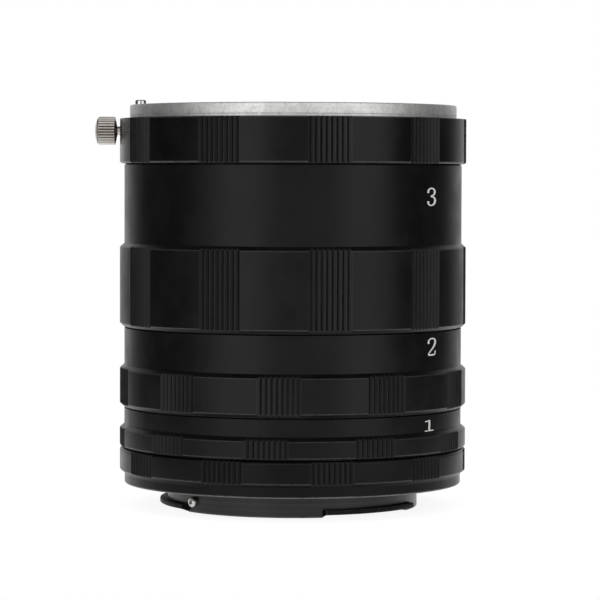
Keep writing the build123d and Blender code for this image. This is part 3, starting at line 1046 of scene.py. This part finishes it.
def lens_ring():
    """Ring with a grip, a socket below and a recess above, and the ways of the lens lock."""
    outside = foot_rows(lens_base, lens_foot_chamfer)
    outside += [(grip_r, plate_base, edge_break), (plate_r - 0.5, plate_base)]
    inside = [
        (recess_r + edge_break, plate_base), (recess_r, plate_base - edge_break),
        (recess_r, lens_socket_top + edge_break), (recess_r + edge_break, lens_socket_top),
    ]
    # Slot of the knob's stem, through the wall
    width = 2 * slot_half_width
    slot = prism("stem_slot", slot_outline(lock_travel + width, width), 0.0, 10.0)
    shift(slot, -pin_circle_r, 0, knob_z - lock_travel / 2, towards_knob)
    # Pocket of the flat spring, open below, and the bore of the pin
    half = spring_width / 2 + pocket_side
    arc = spring_arc + 2 * (180 / pi * spring_width / pin_circle_r)
    outline = sector_outline(pin_circle_r - half, pin_circle_r + half, 180 - spring_arc / 2, arc)
    pocket = prism("pocket", outline, lens_socket_top - 0.6, spring_top)
    bore = prism("pin_bore", hole_outline(pin_hole_r, -pin_circle_r), spring_top - 0.3, plate_base + 1)
    gripped_ring(
        "lens_ring", "lens_side", lens_grip_angle, outside,
        inside + socket_rows(lens_base, lens_socket_top), cutters=[slot, pocket, bore],
    )
    socket_thread("lens_ring", lens_base, "lens_side")


lens_ring()


# ---- small parts ----

def spun(name, rows, count=48):
    """Solid turned on its own axis."""
    return turned(name, [(even_angles(0, count), rows)], closed=False)


def bayonet_plate():
    """Bare metal plate with three inner lugs, a line round its rim and countersunk holes."""
    outer = soften([
        (plate_r - 1.5, plate_base), (plate_r, plate_base, 0.08), (plate_r, plate_base + 0.4, 0.02),
        (plate_r - 0.1, plate_base + 0.46), (plate_r, plate_base + 0.52, 0.02),
        (plate_r, plate_top, 0.3), (plate_r - 1.5, plate_top),
    ])

    def lip(radius):
        heights = (plate_top - lip_break, plate_top - 1.15, plate_top - 1.35, plate_base + lip_break)
        rows = [(lug_pocket_r + 0.6, plate_top), (radius + lip_break, plate_top)]
        rows += [(radius, height) for height in heights]
        return rows + [(radius + lip_break, plate_base), (lug_pocket_r + 0.6, plate_base)]

    start = first_lug_angle - 60
    inner = lugged_band(start, inner_lug_arc, lip(lug_pocket_r), lip(throat_r))
    piece = turned("bayonet_plate", [(even_angles(start, 240), outer), inner])
    neck = plate_top - screw_hole_r + screw_r + 0.03
    hole = [
        (0, plate_base - 1), (screw_r + 0.03, plate_base - 1), (screw_r + 0.03, neck),
        (screw_hole_r + 0.5, plate_top + 0.5), (0, plate_top + 0.5),
    ]
    for a in map(radians, even_angles(first_screw_angle, screw_count)):
        sink = spun("countersink", hole)
        shift(sink, screw_circle_r * cos(a), screw_circle_r * sin(a), 0)
        cut(piece, sink)
    hole = hole_outline(pin_hole_r, -pin_circle_r, steps=24)
    cut(piece, prism("pin_hole", hole, plate_base - 1, plate_top + 1))
    dress(piece, plate_metal, "lens_side", "bare_plate", "lens_bayonet")


bayonet_plate()


def plate_screws():
    """Countersunk cross-head screws, copied round the plate."""
    low, high = span("bayonet_screw_1")
    end = low - high
    screw = spun("plate_screws", soften([
        (0, end), (screw_r - 0.1, end, 0.05), (screw_r, end + 0.15, 0.05),
        (screw_r, screw_r - screw_head_r, 0.05), (screw_head_r, 0.0, 0.06), (0, 0.0),
    ]))
    arm = [(1.0, 0.2), (0.2, 0.2), (0.2, 1.0)]
    mirrored = [(-x, y) for x, y in reversed(arm)]
    outline = arm + mirrored + [(-x, -y) for x, y in arm + mirrored]
    cross = prism("cross", outline, -0.7, 0.5)
    for point in cross.data.vertices:
        if point.co.z < 0:
            point.co.x *= 0.45
            point.co.y *= 0.45
    cut(screw, cross)
    apply_tree(
        screw, copies, Count=screw_count, Radius=screw_circle_r * MM, Angle=radians(first_screw_angle),
        Height=(plate_top - screw_sink) * MM, Material=steel,
    )
    dress(screw, steel, "lens_side", "steel", "bayonet_screw_1", "bayonet_screw_2", "bayonet_screw_3")


plate_screws()


def stop_screw():
    """Round head with a hexagon socket, in the bayonet's wall."""
    floor = stop_head_height - stop_socket_depth
    corners = [radians((angle + 30) % 60 - 30) for angle in even_angles(0, 48)]
    hexagon = [stop_socket_r * cos(radians(30)) / cos(off) for off in corners]
    piece = spun("stop_screw_head", [
        (0, -stop_shank_length), (stop_shank_r, -stop_shank_length), (stop_shank_r, 0.02),
        (stop_head_r - 0.05, 0.02), (stop_head_r, 0.1), (stop_head_r, stop_head_height - 0.3),
        (stop_head_r - 0.06, stop_head_height - 0.14), (stop_head_r - 0.16, stop_head_height - 0.05),
        (stop_head_r - 0.3, stop_head_height), [(r + 0.05, stop_head_height) for r in hexagon],
        [(r, stop_head_height - 0.05) for r in hexagon], [(r, floor) for r in hexagon],
        (0, floor - 0.12),
    ])
    a = radians(stop_angle)
    outwards = Matrix(((-sin(a), 0, cos(a), 0), (cos(a), 0, sin(a), 0), (0, 1, 0, 0), (0, 0, 0, 1)))
    shift(piece, bayonet_r * cos(a), bayonet_r * sin(a), stop_height, outwards)
    dress(piece, steel, "camera_side", "steel", "stop_screw")


stop_screw()


def lock_pin():
    """Polished pin with a round tip."""
    base = span("lock_pin")[0]
    rows = soften([(0, base), (pin_r, base, 0.1), (pin_r, pin_top, 0.32), (0, pin_top)], 5)
    piece = spun("lock_pin_polished", rows, 64)
    shift(piece, -pin_circle_r, 0, 0)
    dress(piece, polished, "lens_lock", "steel", "lock_pin", sharp=pin_sharp_angle)


lock_pin()


def lock_knob():
    """Straight-knurled knob on its stem, turned round the -X direction."""
    stem_start = pin_circle_r + pin_r * 0.9
    rows = soften([
        (0, stem_start), (stem_r, stem_start), (stem_r, knob_head_start, 0.1),
        (knob_r - 0.5, knob_head_start + 0.22, 0.08), (knob_r, knob_knurl_start, 0.06),
        (knob_r, knob_knurl_end, 0.04), (knob_r - 0.4, knob_knurl_end + 0.08),
        (knob_r - 0.4, knob_knurl_end + 0.14), (knob_r - 0.12, knob_knurl_end + 0.2, 0.04),
        (knob_r - 1.3, knob_end - 0.06, 0.4), (0, knob_end),
    ])
    rows = with_rows(rows, knob_r - knurl_depth - 0.02)
    tooth = 360 / knurl_teeth
    flank = (-0.47, -0.25, -0.04, 0.04, 0.25, 0.47)
    columns = [k * tooth + part * tooth for k in range(knurl_teeth) for part in flank]
    piece = turned("knurled_knob", [(columns, rows)], closed=False)
    apply_tree(
        piece, grooves, Groups=float(knurl_teeth), Grooves=1.0, Pitch=radians(tooth),
        Depth=knurl_depth * MM, Ridge_Inset=0.0, Flat=0.08, Radius=knob_r * MM, Angle=0.0,
        Material=knob_metal,
    )
    shift(piece, 0, 0, knob_z, towards_knob)
    dress(piece, knob_metal, "lens_lock", "steel", "lock_knob")


lock_knob()

for number in range(1, 4):
    clothe(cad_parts[f"leaf_spring_{number}"], spring_steel)


def flat_spring():
    """Strip under the pin, with the hole of its screw."""
    inner = pin_circle_r - spring_width / 2
    outer = pin_circle_r + spring_width / 2
    b = 0.06
    section = [(inner + b, spring_base), (outer - b, spring_base), (outer, spring_base + b)]
    section += [(outer, spring_top - b), (outer - b, spring_top), (inner + b, spring_top)]
    section += [(inner, spring_top - b), (inner, spring_base + b)]
    arc = spring_arc + 180 / pi * spring_width / pin_circle_r
    steps = 64
    angles = [radians(180 - spring_arc / 2 - arc / 2 + arc * k / steps) for k in range(steps, -1, -1)]
    piece = loft("flat_spring", [[(r * cos(a), r * sin(a), z) for r, z in section] for a in angles])
    a = radians(180 - spring_arc)
    hole = hole_outline(anchor_hole_r, pin_circle_r * cos(a), pin_circle_r * sin(a))
    cut(piece, prism("anchor_hole", hole, spring_base - 0.5, spring_top + 0.5))
    polish(piece)
    clothe(piece, spring_steel)
    for angle, clear in ((180 - spring_arc, anchor_head_r + 0.4), (180, -pin_r - 0.4)):
        a = radians(angle) + clear / pin_circle_r
    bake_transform(piece)
    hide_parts("lock_spring")


flat_spring()
clothe(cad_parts["lock_spring_screw"], steel)


# ---- engraved figures ----

# Strokes in millimetres, as the figures look from the front: along the barrel, up from the
# foot, and how thick the pen is there. They are stretched round the barrel to their real width.
figure_stroke = 0.28
figure_relief = 0.02
figure_stretch = 1.65
figure_lines = {
    "1": [
        [(-0.7, 1.86, 0.6), (-0.3, 1.9, 0.7), (0.02, 2.02, 0.8), (0.1, 2.12, 0.7)],
        [(0.04, 2.1, 1.1), (0.02, 1.0, 1.25), (0.0, 0.15, 1.25)],
        [(-0.72, 0.1, 0.65), (0.0, 0.14, 0.8), (0.76, 0.16, 0.65)],
    ],
    "2": [
        [(-0.55, 2.12, 1.5), (-0.6, 2.3, 1.2), (-0.6, 2.7, 0.9), (-0.12, 3.1, 0.8), (0.55, 3.0, 1.0),
         (0.75, 2.45, 1.3), (0.5, 1.75, 1.2), (0.0, 1.1, 0.9), (-0.5, 0.55, 0.7), (-0.68, 0.2, 0.7)],
        [(-0.64, 0.16, 1.0), (0.0, 0.17, 1.1), (0.6, 0.2, 1.0)],
        [(0.6, 0.2, 0.9), (0.68, 0.5, 0.8), (0.72, 0.95, 0.6)],
    ],
    "3": [
        [(-0.6, 2.38, 1.5), (-0.65, 2.6, 1.2), (-0.6, 3.05, 0.9), (0.0, 3.35, 0.8), (0.6, 3.05, 1.1),
         (0.68, 2.5, 1.3), (0.45, 1.95, 1.0), (-0.22, 1.75, 0.7)],
        [(-0.22, 1.75, 0.7), (0.4, 1.7, 0.9), (0.75, 1.2, 1.3), (0.7, 0.6, 1.4), (0.3, 0.1, 0.9),
         (-0.3, 0.05, 0.8), (-0.68, 0.4, 1.0), (-0.62, 0.85, 1.6)],
    ],
}


def engraved_figure(figure, body, angle, foot, wide, high):
    """Figure on a barrel: its angle and foot there, and factors for its width and height."""
    curve = bpy.data.curves.new(f"figure_{figure}", "CURVE")
    curve.dimensions = "3D"
    for line in figure_lines[figure]:
        spline = curve.splines.new("NURBS")
        spline.points.add(len(line) - 1)
        for point, (u, v, thick) in zip(spline.points, line):
            point.co = (u * wide * MM, v * high * MM, 0.0, 1.0)
            point.radius = thick
        spline.order_u = 3
        spline.use_endpoint_u = True
    piece = apply_tree(
        new_object(f"figure_{figure}", curve), figures, Radius=barrel_r * MM, Angle=radians(angle),
        Height=foot * MM, Stroke=figure_stroke * MM, Stretch=figure_stretch,
        Relief=figure_relief * MM, Material=paint,
    )
    piece.data.shade_smooth()
    clothe(piece, paint)
    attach(piece, body)


engraved_figure("1", "short_tube", -38.1, 14.5, 1.08, 0.92)
engraved_figure("2", "middle_tube", -36.9, 27.35, 0.94, 0.97)
engraved_figure("3", "long_tube", -37.4, 52.9, 0.9, 0.9)


# ---- floor, light and camera ----

def pale_floor():
    """Floor that looks white to the camera and grey to diffuse light."""
    size = 110.0
    down = -0.01
    corners = [(-size, -size, down), (size, -size, down), (size, size, down), (-size, size, down)]
    floor = mesh_piece("floor", corners, [(0, 1, 2, 3)])
    material = bpy.data.materials.new("pale_floor")
    tree = empty_tree(material)
    matt, faint = (output(tree, "ShaderNodeBsdfDiffuse", Color=grey(level)) for level in (0.8, 0.2))
    glow = output(tree, "ShaderNodeEmission", Color=grey(1.0), Strength=0.9)
    both = output(tree, "ShaderNodeAddShader", faint, glow)
    path = add(tree, "ShaderNodeLightPath").outputs
    seen = most(most(path["Is Camera Ray"], path["Is Glossy Ray"]), path["Is Transmission Ray"])
    pick = output(tree, "ShaderNodeMixShader", seen, matt, both)
    add(tree, "ShaderNodeOutputMaterial", Surface=pick)
    floor.data.materials.append(material)


pale_floor()


def surroundings():
    """White for the camera, plain light for diffuse rays, and for reflections light from the
    front and the back with a darker middle."""
    world = bpy.data.worlds.new("studio")
    bpy.context.scene.world = world
    tree = empty_tree(world)
    y = split(add(tree, "ShaderNodeTexCoord").outputs["Generated"])[1]
    front = ramp(y, -0.9, -0.05, 0.62, 0.06)
    middle = ramp(y, -1.0, -0.93, 0.12, 0.0)
    back = ramp(y, 0.55, 1.03, 0.0, 0.95)
    mirrored, plain, white = (
        output(tree, "ShaderNodeBackground", Color=grey(1.0), Strength=strength)
        for strength in (plus(minus(front, middle), back), 0.8, 1.0)
    )
    path = add(tree, "ShaderNodeLightPath").outputs
    glossy = output(tree, "ShaderNodeMixShader", path["Is Glossy Ray"], plain, mirrored)
    direct = most(path["Is Camera Ray"], path["Is Transmission Ray"])
    seen = output(tree, "ShaderNodeMixShader", direct, glossy, white)
    add(tree, "ShaderNodeOutputWorld", Surface=seen)


surroundings()


def soft_light(name, azimuth, width, power, distance=1.3, height=0.3):
    """Upright soft box that faces the stack. The azimuth is counted from the front, to the right."""
    lamp = bpy.data.lights.new(name, "AREA")
    lamp.shape = "RECTANGLE"
    lamp.size = width
    lamp.size_y = 1.0
    lamp.energy = power
    light = new_object(name, lamp)
    a = radians(azimuth - 90)
    light.location = (distance * cos(a), distance * sin(a), height)
    aim = Vector((0, 0, 0.035)) - light.location
    light.rotation_euler = aim.to_track_quat("-Z", "Y").to_euler()


soft_light("left_box", -36, 0.85, 2.5)
soft_light("right_box", 50, 0.8, 2.4)

# Camera at the photograph's view
eye_distance = 520.0
eye_height = 58.1
focal_px = 2955.0
frame_px = 600
pitch = radians(2.428)
yaw = radians(0.14)
roll = Quaternion((0, 0, 1), radians(0.17))

camera_data = bpy.data.cameras.new("camera")
camera_data.sensor_width = 36.0
camera_data.lens = focal_px * camera_data.sensor_width / frame_px
camera_data.clip_start = 0.05
camera_data.clip_end = 20.0
camera = new_object("camera", camera_data)
camera.location = (0.0, -eye_distance * MM, eye_height * MM)
line_of_sight = Vector((sin(yaw) * cos(pitch), cos(yaw) * cos(pitch), -sin(pitch)))
camera.rotation_euler = (line_of_sight.to_track_quat("-Z", "Y") @ roll).to_euler()
bpy.context.scene.camera = camera
bpy.context.scene.view_settings.view_transform = "Standard"
